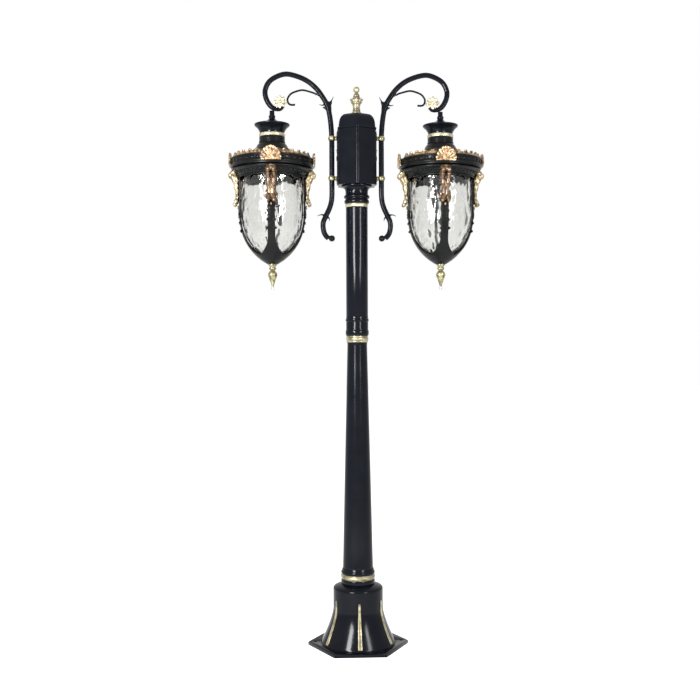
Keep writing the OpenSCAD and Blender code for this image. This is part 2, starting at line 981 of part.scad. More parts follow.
// Front outline of one pair of ribs, opening to a petal where it meets the cup
module rib_pair() {
    petal_z = -cage_straight_h - bell_h * petal_share;
    cup_z = -cage_straight_h - bell_h * cup_share;
    half = rib_w / 2;
    wide = petal_w / 2;
    rotate([90, 0, 0])
        linear_extrude(2 * cage_r + 2, center = true)
            polygon(concat(
                [[half, 0]],
                [
                    for (k = [0 : 6])
                        let (t = k / 6)
                        [mix(half, wide, pow(t, 2.2)), mix(petal_z, cup_z, t)]
                ],
                [
                    for (k = [6 : -1 : 0])
                        let (t = k / 6)
                        [-mix(half, wide, pow(t, 2.2)), mix(petal_z, cup_z, t)]
                ],
                [[-half, 0]]
            ));
}

module cage() {
    cup_z = -cage_straight_h - bell_h * cup_share;
    cup_end = -cage_straight_h - cup_h;
    color(black)
        at_lamp(hood_z)
            difference() {
                union() {
                    intersection() {
                        bell_shell(cup_end);
                        union() {
                            rib_pair();
                            rotate([0, 0, 90])
                                rib_pair();
                            translate([0, 0, cup_end - 10])
                                cylinder(r = cage_r + 5, h = cup_z - cup_end + 10);
                            translate([0, 0, -seal_t - cage_ring_h])
                                cylinder(r = cage_r + 5, h = cage_ring_h);
                            around(4, 45)
                                translate([cage_r - 20, 0, -seal_t - cage_ring_h])
                                    rotate([0, 90, 0])
                                        cylinder(r = 17, h = 30);
                        }
                    }
                }
                around(4, 45)
                    translate([cage_r - cage_t / 2, 0, -seal_t - guide_pin_l - 2])
                        cylinder(r = guide_pin_r + pin_clearance, h = guide_pin_l + 10);
            }
}

module guide_pins() {
    color(steel)
        for (side = [-1, 1])
            on_side(side)
                at_lamp(hood_z)
                    around(4, 45)
                        translate([cage_r - cage_t / 2, 0, -seal_t - guide_pin_l])
                            cylinder(r = guide_pin_r, h = seal_t + guide_pin_l);
}

module jar() {
    outer = bell_outline(jar_r, cage_straight_h, jar_bell_h, bell_steps, 1);
    inner = bell_outline(jar_r - glass_t, cage_straight_h, jar_bell_h - glass_t, bell_steps, 1);
    color([0.8, 0.85, 0.85, 0.35])
        at_lamp(hood_z)
            rotate_extrude()
                difference() {
                    polygon(concat([[0, -seal_t], [jar_r, -seal_t]], outer));
                    polygon(concat([[0, -seal_t + 1], [jar_r - glass_t, -seal_t + 1]], inner));
                }
}

// Side outline of one ornament, from the cage outwards
module ornaments() {
    h = ornament_h;
    color(gold)
        at_lamp(hood_z)
            difference() {
                around(4, 0)
                    intersection() {
                        rotate([90, 0, 0])
                            linear_extrude(ornament_w, center = true)
                                polygon([
                                    [cage_r - 6, -5], [cage_r + 31, -5], [cage_r + 43, -18],
                                    [cage_r + 43, -34], [cage_r + 25, -58],
                                    [cage_r + 16, -84], [cage_r + 17, 0.75 * -h],
                                    [cage_r + 24, -h], [cage_r + 12, 6 - h],
                                    [cage_r, 14 - h], [cage_r - 6, 14 - h]
                                ]);
                        rotate([90, 0, 90])
                            linear_extrude(cage_r + 50)
                                polygon([
                                    [-ornament_w / 2, 0], [-ornament_w * 0.45, -h * 0.4],
                                    [-ornament_w * 0.3, -h], [ornament_w * 0.3, -h],
                                    [ornament_w * 0.45, -h * 0.4], [ornament_w / 2, 0]
                                ]);
                    }
                translate([0, 0, -h - 10])
                    cylinder(r = cage_r, h = h + 20);
            }
}

module drop() {
    top = hood_z - cage_straight_h - cup_h;
    color(gold)
        at_lamp(top)
            union() {
                rotate_extrude()
                    polygon([
                        [0, 0], [24, 0], [24, -3], [16, -9], [12, -20], [13, -26], [0, -26]
                    ]);
                translate([0, 0, -24 - drop_r])
                    sphere(r = drop_r);
                rotate_extrude()
                    polygon([
                        [0, -24 - drop_r], [14, -24 - drop_r * 1.6], [9, -drop_h + 34],
                        [5, -drop_h + 26], [4, -drop_h + 4], [0, -drop_h]
                    ]);
            }
}

// Nodes ---------------------------------------------------------------------

foot_plate();
plate_screws();
base_skirt();
skirt_strips();
base_neck();
base_ring();
base_collar();
lower_column();
middle_ring();
coupling();
upper_column();
capital_ring();
capital();
head_box();
head_lid();
top_finial();
tie_tube();
tie_nuts();
terminal_block();
bracket_screws();
grommets();
guide_pins();
on_side(-1) bracket();  // bracket_left
on_side(1) bracket();  // bracket_right
on_side(-1) clamps();  // clamps_left
on_side(1) clamps();  // clamps_right
on_side(-1) arm();  // arm_left
on_side(1) arm();  // arm_right
on_side(-1) slim_scroll();  // slim_scroll_left
on_side(1) slim_scroll();  // slim_scroll_right
on_side(-1) rosette();  // rosette_left
on_side(1) rosette();  // rosette_right
on_side(-1) stem();  // stem_left
on_side(1) stem();  // stem_right
on_side(-1) nipple();  // nipple_left
on_side(1) nipple();  // nipple_right
on_side(-1) cap();  // cap_left
on_side(1) cap();  // cap_right
on_side(-1) neck_ring();  // neck_ring_left
on_side(1) neck_ring();  // neck_ring_right
on_side(-1) hood();  // hood_left
on_side(1) hood();  // hood_right
on_side(-1) shells();  // shells_left
on_side(1) shells();  // shells_right
on_side(-1) roof_leaves();  // roof_leaves_left
on_side(1) roof_leaves();  // roof_leaves_right
on_side(-1) seal();  // seal_left
on_side(1) seal();  // seal_right
on_side(-1) holder();  // holder_left
on_side(1) holder();  // holder_right
on_side(-1) bulb();  // bulb_left
on_side(1) bulb();  // bulb_right
on_side(-1) cage();  // cage_left
on_side(1) cage();  // cage_right
on_side(-1) jar();  // jar_left
on_side(1) jar();  // jar_right
on_side(-1) ornaments();  // ornaments_left
on_side(1) ornaments();  // ornaments_right
on_side(-1) drop();  // drop_left
on_side(1) drop();  // drop_right
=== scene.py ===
# %% [markdown]
# # A garden lamp post with two hanging lanterns
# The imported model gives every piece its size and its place. This lesson puts a camera, a
# pale studio and the light round it, and then models each visible piece again with the
# detail that a foundry and a paint shop give it: cast leaves, turned beads, hammered glass.

import json
import math

import bpy
from mathutils import Matrix, Quaternion, Vector


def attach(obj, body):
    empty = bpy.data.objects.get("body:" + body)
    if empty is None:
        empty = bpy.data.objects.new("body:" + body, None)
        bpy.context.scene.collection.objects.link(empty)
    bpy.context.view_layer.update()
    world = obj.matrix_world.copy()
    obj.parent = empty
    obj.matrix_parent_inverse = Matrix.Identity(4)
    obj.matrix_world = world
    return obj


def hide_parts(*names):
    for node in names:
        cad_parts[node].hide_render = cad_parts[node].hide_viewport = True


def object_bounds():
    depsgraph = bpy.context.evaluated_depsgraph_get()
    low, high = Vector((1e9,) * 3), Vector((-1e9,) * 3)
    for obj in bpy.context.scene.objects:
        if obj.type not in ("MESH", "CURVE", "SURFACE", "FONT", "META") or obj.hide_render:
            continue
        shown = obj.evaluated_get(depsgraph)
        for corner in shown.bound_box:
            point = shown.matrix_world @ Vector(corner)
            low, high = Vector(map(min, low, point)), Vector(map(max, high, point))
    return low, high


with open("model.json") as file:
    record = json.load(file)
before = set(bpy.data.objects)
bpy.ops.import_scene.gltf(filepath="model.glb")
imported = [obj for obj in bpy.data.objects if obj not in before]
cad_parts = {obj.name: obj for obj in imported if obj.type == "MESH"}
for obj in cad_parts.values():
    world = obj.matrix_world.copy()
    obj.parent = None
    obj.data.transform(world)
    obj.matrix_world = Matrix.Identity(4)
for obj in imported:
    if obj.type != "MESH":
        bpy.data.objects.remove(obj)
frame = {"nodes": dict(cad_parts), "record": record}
frame_low, frame_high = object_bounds()
MM = 0.001
tall = frame_high.z - frame_low.z
print("frame is", round(tall, 3), "m tall and", round(frame_high.x - frame_low.x, 3), "m wide")

# %% [markdown]
# The camera stands at chest height, a little to the left of the post, and looks very
# slightly down. A lens of about 49 mm from nearly four metres keeps the post's edges
# almost upright.

# %% Camera
camera_data = bpy.data.cameras.new("camera")
camera_data.lens = 49.4
camera_data.sensor_width = 36
camera = bpy.data.objects.new("camera", camera_data)
bpy.context.collection.objects.link(camera)
CAMERA_TURN = math.radians(-3)
CAMERA_AWAY = 3.92
aim = Vector((-0.0297, 0, 1.2025))
camera.location = (
    CAMERA_AWAY * math.sin(CAMERA_TURN),
    -CAMERA_AWAY * math.cos(CAMERA_TURN),
    1.243,
)
LEAN = Quaternion((0, 0, 1), math.radians(-0.2))
camera.rotation_euler = ((aim - camera.location).to_track_quat("-Z", "Y") @ LEAN).to_euler()
bpy.context.scene.camera = camera
print("camera is", round((aim - camera.location).length, 2), "m from the post")

# %% [markdown]
# The studio is a wide white floor under an even white sky. Black gloss paint shows only
# what it reflects, so two tall narrow light boxes stand left and right of the camera: each
# one draws a clean upright line down the column.

# %% Floor and light
def deselect():
    """Nothing selected and nothing in edit mode, so that the next operator starts clean."""
    if bpy.context.object and bpy.context.object.mode != "OBJECT":
        bpy.ops.object.mode_set(mode="OBJECT")
    bpy.ops.object.select_all(action="DESELECT")


deselect()
bpy.ops.mesh.primitive_plane_add(size=40, location=(0, 0, -0.0005))
floor = bpy.context.object
floor.name = "floor"

world = bpy.data.worlds.new("studio")
bpy.context.scene.world = world
world.use_nodes = True
world.node_tree.nodes["Background"].inputs["Color"].default_value = (1, 1, 1, 1)
world.node_tree.nodes["Background"].inputs["Strength"].default_value = 1.0
bpy.context.scene.view_settings.view_transform = "Standard"


def light_box(name, turn_deg, height, width, tall, watts):
    """A tall soft light, 3.6 m away, that faces the post from the given side."""
    away = 3.6
    turn = math.radians(turn_deg)
    data = bpy.data.lights.new(name, "AREA")
    data.shape = "RECTANGLE"
    data.size = width
    data.size_y = tall
    data.energy = watts
    lamp = bpy.data.objects.new(name, data)
    bpy.context.collection.objects.link(lamp)
    lamp.location = (away * math.sin(turn), -away * math.cos(turn), height)
    target = Vector((0, 0, height))
    lamp.rotation_euler = (target - lamp.location).to_track_quat("-Z", "Z").to_euler()


light_box("box_left", -33, 1.95, 0.8, 1.6, 320)
light_box("box_right", 35, 1.95, 0.55, 1.6, 120)

# %% [markdown]
# ## Finishes
# A colour is chosen as a screen hex value, and Blender's shaders want linear light, so one
# function converts it. A second function adds a shader node with its settings and links,
# which keeps each finish short enough to read.

# %% Colour and node helpers
def linear(hex_colour):
    """Screen colour such as "c79a55" to the linear values that a shader takes."""
    parts = [int(hex_colour[k : k + 2], 16) / 255 for k in (0, 2, 4)]
    return tuple(p / 12.92 if p <= 0.04045 else ((p + 0.055) / 1.055) ** 2.4 for p in parts) + (1,)


def add_node(tree, kind, settings=None, links=None):
    """Adds one node, sets its sockets or properties, and links its inputs."""
    node = tree.nodes.new(kind)
    for name, value in (settings or {}).items():
        if name in node.inputs:
            node.inputs[name].default_value = value
        else:
            setattr(node, name, value)
    for name, source in (links or {}).items():
        tree.links.new(source, node.inputs[name])
    return node


def new_finish(name):
    """An empty material, its node tree, its shader and a position in object space."""
    finish = bpy.data.materials.new(name)
    finish.use_nodes = True
    tree = finish.node_tree
    shader = tree.nodes["Principled BSDF"]
    place = add_node(tree, "ShaderNodeTexCoord").outputs["Object"]
    return finish, tree, shader, place


def per_metre(size_mm):
    """Scale of a noise texture whose patches measure about size_mm."""
    return 1 / (size_mm * MM)


# %% [markdown]
# The floor is painted plaster. It is a little brighter than the sky's light alone makes
# it, so that the far edge melts into the sky and only the soft shadow at the foot stays.

# %% White plaster floor
plaster, tree, shader, place = new_finish("painted_plaster_floor")
grain = add_node(
    tree, "ShaderNodeTexNoise", {"Scale": per_metre(40), "Detail": 2}, {"Vector": place}
)
tone = add_node(
    tree,
    "ShaderNodeMixRGB",
    {"Color1": linear("f4f4f4"), "Color2": linear("fafafa")},
    {"Fac": grain.outputs["Fac"]},
)
tree.links.new(tone.outputs["Color"], shader.inputs["Base Color"])
shader.inputs["Roughness"].default_value = 0.8
shader.inputs["Specular IOR Level"].default_value = 0.1
shader.inputs["Emission Color"].default_value = (1, 1, 1, 1)
shader.inputs["Emission Strength"].default_value = 0.22
floor.data.materials.append(plaster)
print("floor finish", plaster.name)

# %% [markdown]
# The post is cast aluminium, powder coated in gloss black. Powder flows as it bakes and
# leaves a shallow orange peel about 3.5 mm across, and the cast skin shows through it as
# slow waves of about 60 mm. The pigment gives the black a slight blue.

# %% Gloss black powder coat
def powder_coat(name, base, shine, rough, peel_depth):
    """Black powder coat: slow cast waves in colour and gloss, and a fine orange peel."""
    finish, tree, shader, place = new_finish(name)
    peel = add_node(
        tree, "ShaderNodeTexNoise", {"Scale": per_metre(3.5), "Detail": 1.5}, {"Vector": place}
    )
    waves = add_node(
        tree, "ShaderNodeTexNoise", {"Scale": per_metre(60), "Detail": 3}, {"Vector": place}
    )
    tone = add_node(
        tree,
        "ShaderNodeMixRGB",
        {"Color1": linear(base), "Color2": linear(shine)},
        {"Fac": waves.outputs["Fac"]},
    )
    gloss = add_node(
        tree,
        "ShaderNodeMapRange",
        {"From Min": 0.3, "From Max": 0.7, "To Min": rough * 0.8, "To Max": rough * 1.35},
        {"Value": waves.outputs["Fac"]},
    )
    relief = add_node(
        tree,
        "ShaderNodeBump",
        {"Strength": 0.25, "Distance": peel_depth * MM},
        {"Height": peel.outputs["Fac"]},
    )
    tree.links.new(tone.outputs["Color"], shader.inputs["Base Color"])
    tree.links.new(gloss.outputs["Result"], shader.inputs["Roughness"])
    tree.links.new(relief.outputs["Normal"], shader.inputs["Normal"])
    shader.inputs["Specular IOR Level"].default_value = 0.085
    return finish


gloss_black = powder_coat("powder_coated_aluminium_tube", "050609", "0b0d13", 0.14, 0.08)
cast_black = powder_coat("powder_coated_sand_casting", "070808", "101110", 0.24, 0.35)
print("two black powder coats")

# %% [markdown]
# The trim is cast aluminium too, sprayed with a gold lacquer and wiped by hand. Patches of
# 12 to 20 mm mix a dark and a bright tone at random, and the dark tone is also laid into the
# hollows as painted shade. A fine noise of 1.5 mm gives the metal flake of the lacquer. The
# lacquer differs from piece to piece, as it does when one painter wipes dozens of castings,
# but the corbels' two lacquers are one lacquer made darker and paler as painted reflection.

# %% Gold lacquers
def gold_lacquer(name, wash_and_shade, bright, rough, patch_mm):
    """Wiped gold lacquer: dark and bright patches at random, painted shade in the hollows, fine
    flake.
    """
    finish, tree, shader, place = new_finish(name)
    patches = add_node(
        tree, "ShaderNodeTexNoise", {"Scale": per_metre(patch_mm), "Detail": 4}, {"Vector": place}
    )
    flake = add_node(
        tree, "ShaderNodeTexNoise", {"Scale": per_metre(1.5), "Detail": 2}, {"Vector": place}
    )
    wiped = add_node(
        tree,
        "ShaderNodeMapRange",
        {"From Min": 0.38, "From Max": 0.6},
        {"Value": patches.outputs["Fac"]},
    )
    tone = add_node(
        tree,
        "ShaderNodeMixRGB",
        {"Color1": linear(wash_and_shade), "Color2": linear(bright)},
        {"Fac": wiped.outputs["Result"]},
    )
    # Painted shade: ambient occlusion mixes the dark tone into the hollows.
    painted_hollow_shade = add_node(tree, "ShaderNodeAmbientOcclusion", {"Distance": 0.012, "samples": 4})
    shaded = add_node(
        tree,
        "ShaderNodeMixRGB",
        {"Color1": linear(wash_and_shade)},
        {"Fac": painted_hollow_shade.outputs["AO"], "Color2": tone.outputs["Color"]},
    )
    gloss = add_node(
        tree,
        "ShaderNodeMapRange",
        {"From Min": 0.3, "From Max": 0.7, "To Min": rough * 1.3, "To Max": rough * 0.75},
        {"Value": patches.outputs["Fac"]},
    )
    relief = add_node(
        tree,
        "ShaderNodeBump",
        {"Strength": 0.3, "Distance": 0.25 * MM},
        {"Height": flake.outputs["Fac"]},
    )
    tree.links.new(shaded.outputs["Color"], shader.inputs["Base Color"])
    tree.links.new(gloss.outputs["Result"], shader.inputs["Roughness"])
    tree.links.new(relief.outputs["Normal"], shader.inputs["Normal"])
    shader.inputs["Metallic"].default_value = 0.6
    shader.inputs["Coat Weight"].default_value = 0.25
    shader.inputs["Coat Roughness"].default_value = 0.15
    return finish


champagne = gold_lacquer("champagne_gold_lacquer", "5a5540", "968d70", 0.3, 26)
pale_gold = gold_lacquer("pale_champagne_lacquer", "7c7660", "b3ac90", 0.32, 18)
peach_gold = gold_lacquer("wiped_peach_gold_lacquer", "4a341e", "a58a68", 0.34, 9)
# One corbel lacquer in two copies, as painted reflection: a darker one for the front pair and a
# paler one for the side pair.
front_corbel_gold_dark_reflection = gold_lacquer("wiped_copper_gold_lacquer", "2a1c10", "69523a", 0.3, 11)
side_corbel_gold_pale_reflection = gold_lacquer("wiped_khaki_gold_lacquer", "4a3f2a", "98896a", 0.32, 11)
olive_gold = gold_lacquer("olive_gold_lacquer", "4a4630", "898260", 0.28, 12)
leaf_gold = gold_lacquer("wiped_leaf_gold_lacquer", "33241a", "a0845f", 0.3, 10)
print("seven gold lacquers")

# %% [markdown]
# Steel screws and tubes are zinc plated, the seals are moulded rubber, the lamp holder is
# glazed porcelain and the bulb is opal glass. They hardly show, but each keeps its finish.

# %% Small finishes
def plain_finish(name, dark, light, rough, metallic, grain_mm):
    """A quiet two-tone finish with a grain of the given size."""
    finish, tree, shader, place = new_finish(name)
    grain = add_node(
        tree, "ShaderNodeTexNoise", {"Scale": per_metre(grain_mm), "Detail": 3}, {"Vector": place}
    )
    tone = add_node(
        tree,
        "ShaderNodeMixRGB",
        {"Color1": linear(dark), "Color2": linear(light)},
        {"Fac": grain.outputs["Fac"]},
    )
    relief = add_node(
        tree,
        "ShaderNodeBump",
        {"Strength": 0.2, "Distance": 0.1 * MM},
        {"Height": grain.outputs["Fac"]},
    )
    tree.links.new(tone.outputs["Color"], shader.inputs["Base Color"])
    tree.links.new(relief.outputs["Normal"], shader.inputs["Normal"])
    shader.inputs["Roughness"].default_value = rough
    shader.inputs["Metallic"].default_value = metallic
    return finish


zinc = plain_finish("zinc_plated_steel", "8a8e90", "c4c8c8", 0.35, 1, 4)
rubber = plain_finish("moulded_rubber", "0c0c0d", "18181a", 0.75, 0, 1.2)
porcelain = plain_finish("glazed_porcelain", "e4e0d6", "f4f1ea", 0.12, 0, 9)
block_plastic = plain_finish("moulded_polyamide", "c9c9c2", "dcdcd6", 0.5, 0, 2)
opal = plain_finish("opal_bulb_glass", "f0eee6", "fdfcf8", 0.2, 0, 15)
print("five small finishes")

# %% [markdown]
# The jars are soda glass blown into a hammered mould. The hammer marks are modelled as
# real dents, so the material only needs clear glass and a faint seedy ripple about 9 mm
# across, which breaks up the reflections inside each dent.

# %% Hammered glass
jar_glass, tree, shader, place = new_finish("hammered_soda_glass")
seeds = add_node(
    tree, "ShaderNodeTexNoise", {"Scale": per_metre(9), "Detail": 1}, {"Vector": place}
)
tint = add_node(
    tree,
    "ShaderNodeMixRGB",
    {"Color1": linear("e6e6e3"), "Color2": linear("f6f6f4")},
    {"Fac": seeds.outputs["Fac"]},
)
ripple = add_node(
    tree,
    "ShaderNodeBump",
    {"Strength": 0.3, "Distance": 0.6 * MM},
    {"Height": seeds.outputs["Fac"]},
)
tree.links.new(tint.outputs["Color"], shader.inputs["Base Color"])
tree.links.new(ripple.outputs["Normal"], shader.inputs["Normal"])
shader.inputs["Transmission Weight"].default_value = 1
shader.inputs["IOR"].default_value = 1.45
shader.inputs["Roughness"].default_value = 0.02
print("jar finish", jar_glass.name)

# %% Give every CAD node its finish
SLOT_FINISH = {
    "black_paint": gloss_black,
    "gold_paint": champagne,
    "pale_gold_paint": pale_gold,
    "steel": zinc,
    "hammered_glass": jar_glass,
    "bulb_glass": opal,
    "rubber": rubber,
    "plastic": block_plastic,
    "ceramic": porcelain,
}
for part in frame["record"]["subparts"]:
    node = frame["nodes"][part["node"]]
    for slot in node.material_slots:
        slot.material = SLOT_FINISH[part["material_slot"]]
print("finished", len(frame["nodes"]), "nodes of the frame")

# %% [markdown]
# ## Turned pieces
# Most of the post was turned on a lathe or cast from a turned pattern: rings, collars,
# columns, caps. Bevelled cylinders would give their steps but not their beads and coves.
# So each one starts as a small plane merged to a point. The point is extruded along the
# outline that a turner would follow with the tool, and spun once round the axis.

# %% Turning helpers
LAMP_X = 343


def turned(name, outline, x=0.0, sides=96):
    """Turns an outline of (radius, height) points, in mm, round the upright axis at x."""
    deselect()
    start = ((x + outline[0][0]) * MM, 0, outline[0][1] * MM)
    bpy.ops.mesh.primitive_plane_add(size=0.01, location=start)
    piece = bpy.context.object
    piece.name = name
    bpy.ops.object.transform_apply(location=True)
    bpy.ops.object.mode_set(mode="EDIT")
    bpy.ops.mesh.select_mode(type="VERT")
    bpy.ops.mesh.select_all(action="SELECT")
    bpy.ops.mesh.merge(type="CENTER")
    for (r0, z0), (r1, z1) in zip(outline, outline[1:]):
        step = ((r1 - r0) * MM, 0, (z1 - z0) * MM)
        bpy.ops.mesh.extrude_vertices_move(TRANSFORM_OT_translate={"value": step})
    bpy.ops.mesh.select_all(action="SELECT")
    bpy.ops.mesh.spin(steps=sides, angle=math.tau, center=(x * MM, 0, 0), axis=(0, 0, 1))
    bpy.ops.mesh.select_all(action="SELECT")
    bpy.ops.mesh.remove_doubles(threshold=0.00003)
    bpy.ops.mesh.normals_make_consistent(inside=False)
    bpy.ops.object.mode_set(mode="OBJECT")
    return piece


def bead(radius, low, high, proud, steps=6):
    """Outline of a half-round bead that stands proud of a radius between two heights."""
    return [
        (
            radius + proud * math.sin(math.pi * k / steps),
            low + (high - low) * (1 - math.cos(math.pi * k / steps)) / 2,
        )
        for k in range(steps + 1)
    ]


def cove(r0, z0, r1, z1, steps=6):
    """Hollow quarter-round outline that leaves its start upright and ends level."""
    return [
        (
            r0 + (r1 - r0) * (1 - math.cos(math.pi / 2 * k / steps)),
            z0 + (z1 - z0) * math.sin(math.pi / 2 * k / steps),
        )
        for k in range(steps + 1)
    ]


def ring_outline(bore, outside):
    """Closes an outside outline over a bore, so that it turns into a solid ring."""
    low, high = outside[0][1], outside[-1][1]
    return [(bore, low)] + outside + [(bore, high), (bore, low)]


def lift(outline, height):
    """The same outline, moved up by a height."""
    return [(r, z + height) for r, z in outline]


# %% [markdown]
# A finished piece gets a small bevel on its sharp edges, because no casting or turning has
# a perfect edge, and the thin bright line it gives tells the eye where one piece ends.
# Then it is given its finish and told which body of the frame it moves with, and the
# imported pieces it stands for are hidden. Left-hand pieces are copies with their own mesh.

# %% Finishing helpers
def alone(piece):
    """Makes the piece the only one selected, and the active one."""
    deselect()
    piece.select_set(True)
    bpy.context.view_layer.objects.active = piece


def apply_modifier(piece, kind, settings):
    """Adds one modifier with its settings and applies it."""
    alone(piece)
    modifier = piece.modifiers.new(kind.lower(), kind)
    for name, value in settings.items():
        setattr(modifier, name, value)
    bpy.ops.object.modifier_apply(modifier=modifier.name)


def soften(piece, edge_mm):
    """Bevels every edge sharper than 35 degrees by edge_mm."""
    settings = {
        "width": edge_mm * MM,
        "segments": 2,
        "limit_method": "ANGLE",
        "angle_limit": math.radians(35),
        "use_clamp_overlap": True,
    }
    apply_modifier(piece, "BEVEL", settings)


def keep_flats(piece):
    """Shades large flats as truly flat, so that only the rounded edges catch the light."""
    alone(piece)
    bpy.ops.object.shade_smooth_by_angle(angle=math.radians(40))
    apply_modifier(piece, "WEIGHTED_NORMAL", {"weight": 100, "keep_sharp": True})


def settle(piece, finish, body, slot, *nodes):
    """Gives a modelled piece its finish and its body, and hides the nodes it stands for. The slot
    is not used.
    """
    alone(piece)
    bpy.ops.object.transform_apply(location=True, rotation=True, scale=True)
    bpy.ops.object.shade_smooth_by_angle(angle=math.radians(40))
    piece.data.materials.clear()
    piece.data.materials.append(finish)
    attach(piece, body)
    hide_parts(*nodes)
    print(piece.name, len(piece.data.polygons), "faces")


def twin(piece, name):
    """Copies a piece of the right lantern to the left one, with its own mesh."""
    alone(piece)
    bpy.ops.object.duplicate()
    copy = bpy.context.object
    copy.name = name
    bpy.ops.transform.translate(value=(-2 * LAMP_X * MM, 0, 0))
    bpy.ops.object.transform_apply(location=True)
    return copy


def settle_pair(piece, finish, body, slot, *nodes):
    """Settles a right lantern's piece and its left twin. Names end in _right and _left."""
    left = twin(piece, piece.name.replace("_right", "_left"))
    for side, one in (("right", piece), ("left", left)):
        place = body if body == "post" else body + "_" + side
        settle(one, finish, place, slot, *[node + "_" + side for node in nodes])


# %% [markdown]
# The skirt is a bell: it leaves the foot plate wide, draws in over 140 mm, rises straight
# and closes in a domed shoulder. It is hollow, with a wall of 7 mm, and a flat web at the
# top that the tie tube passes through.

# %% Skirt
PLATE_TOP = 12
FLARE_H = 140
SKIRT_TOP_R = 102
SKIRT_WALL = 7
FLARE_SPREAD = 50
flare = [
    (SKIRT_TOP_R + FLARE_SPREAD * max(0, 1 - z / FLARE_H) ** 1.4, PLATE_TOP + z)
    for z in range(0, FLARE_H + 1, 7)
]
flare_inside = [(r - SKIRT_WALL, z) for r, z in reversed(flare)]
dome = [(102, 230), (101.4, 234), (99.5, 237.5), (96, 240.5), (91, 243), (83, 246), (73, 249)]
web = [(70, 250), (13, 250), (13, 242), (80, 240), (94, 230)]
skirt = turned("skirt", flare + dome + web + flare_inside + flare[:1])
soften(skirt, 0.8)
settle(skirt, gloss_black, "post", "black_paint", "base_skirt")

# %% [markdown]
# ## Neck, rings and columns
# Above the skirt a neck, a gold ring and a black collar step in to the lower column, a
# plain taper. The coupling at mid height has one fat and one thin bead.

# %% Foot stack
TIE_HOLE = 12.5
neck = turned("neck", ring_outline(TIE_HOLE, bead(67, 250, 271, 2.5)))
soften(neck, 0.5)
settle(neck, gloss_black, "post", "black_paint", "base_neck")

foot_ring_outside = [(67, 271), (67, 273)] + bead(68, 273.5, 287, 3.6) + [(67, 288), (67, 290)]
foot_ring = turned("foot_ring", ring_outline(TIE_HOLE, foot_ring_outside))
soften(foot_ring, 0.3)
settle(foot_ring, champagne, "post", "gold_paint", "base_ring")

collar_outside = bead(66.5, 290, 304, 3) + [(66, 306), (65, 311), (63.5, 315), (63, 316)]
collar = turned("collar", ring_outline(TIE_HOLE, collar_outside))
soften(collar, 0.5)
settle(collar, gloss_black, "post", "black_paint", "base_collar")

# %% Columns and coupling
taper = [
    (63, 316), (62, 322), (60.1, 400), (51, 775), (42.2, 1140), (40.2, 1222), (40.6, 1230),
    (42, 1234),
]
lower_column = turned("lower_column", ring_outline(TIE_HOLE, taper))
soften(lower_column, 0.5)
settle(lower_column, gloss_black, "post", "black_paint", "lower_column")

three_beads = (
    bead(42.5, 1234, 1240, 1.6, 4) + bead(43, 1240.5, 1255, 2.6) + bead(42.5, 1255.5, 1260, 1.4, 4)
)
middle_ring = turned("middle_ring", ring_outline(TIE_HOLE, three_beads))
soften(middle_ring, 0.3)
settle(middle_ring, champagne, "post", "gold_paint", "middle_ring")

coupling = turned(
    "coupling",
    ring_outline(
        TIE_HOLE,
        [(44.5, 1260)] + bead(45, 1262, 1285, 2.5) + [(45, 1289), (45, 1316)]
        + bead(45, 1318, 1330, 2.5) + [(45, 1334), (44.6, 1340)],
    ),
)
soften(coupling, 0.4)
settle(coupling, gloss_black, "post", "black_paint", "coupling")

upper_column = turned(
    "upper_column", ring_outline(TIE_HOLE, [(44.5, 1340), (44.5, 1560), (44.5, 1776), (45, 1782)])
)
soften(upper_column, 0.4)
settle(upper_column, gloss_black, "post", "black_paint", "upper_column")

# %% [markdown]
# The capital is read from the top down: a cove under the box, a neck, a bead, a square
# ring, and a pale gold ring below it.

# %% Capital
capital_ring = turned("capital_ring", ring_outline(TIE_HOLE, bead(43.5, 1782, 1797, 3.2)))
soften(capital_ring, 0.3)
settle(capital_ring, pale_gold, "post", "pale_gold_paint", "capital_ring")

capital = turned(
    "capital",
    ring_outline(
        TIE_HOLE,
        [(46, 1797)] + bead(47.5, 1798, 1813, 3.2) + [(46.5, 1816)] + bead(46.5, 1818, 1832, 6)
        + [(46, 1835)] + cove(46, 1845, 60.5, 1864) + [(62.5, 1866), (62.5, 1870)],
    ),
)
soften(capital, 0.4)
settle(capital, gloss_black, "post", "black_paint", "capital")

# %% [markdown]
# ## Head
# The head is a hexagonal box with one edge to the front. Its upright edges are rounded
# with a radius of 11 mm, which draws a soft line of light down the middle. A cylinder with
# six sides gives the flats, and its upright edges are picked by their direction.

# %% Head helpers
def pick(piece, kind, test):
    """Selects only those faces or edges of a piece for which test is true, in edit mode."""
    alone(piece)
    bpy.ops.object.mode_set(mode="EDIT")
    bpy.ops.mesh.select_mode(type=kind)
    bpy.ops.mesh.select_all(action="DESELECT")
    bpy.ops.object.mode_set(mode="OBJECT")
    for item in piece.data.polygons if kind == "FACE" else piece.data.edges:
        item.select = test(item)
    bpy.ops.object.mode_set(mode="EDIT")


def hexagon(name, flats, low, high, edge_radius):
    """Hexagonal block with round upright edges and one edge to the front, in mm."""
    deselect()
    bpy.ops.mesh.primitive_cylinder_add(
        vertices=6,
        radius=flats / 2 / math.cos(math.pi / 6) * MM,
        depth=(high - low) * MM,
        location=(0, 0, (low + high) / 2 * MM),
    )
    piece = bpy.context.object
    piece.name = name
    bpy.ops.object.transform_apply(location=True)
    points = piece.data.vertices

    def upright(edge):
        first, second = edge.vertices
        return abs(points[first].co.z - points[second].co.z) > MM

    pick(piece, "EDGE", upright)
    bpy.ops.mesh.bevel(
        offset=edge_radius * math.tan(math.pi / 6) * MM,
        offset_type="OFFSET",
        segments=6,
        affect="EDGES",
    )
    bpy.ops.object.mode_set(mode="OBJECT")
    return piece


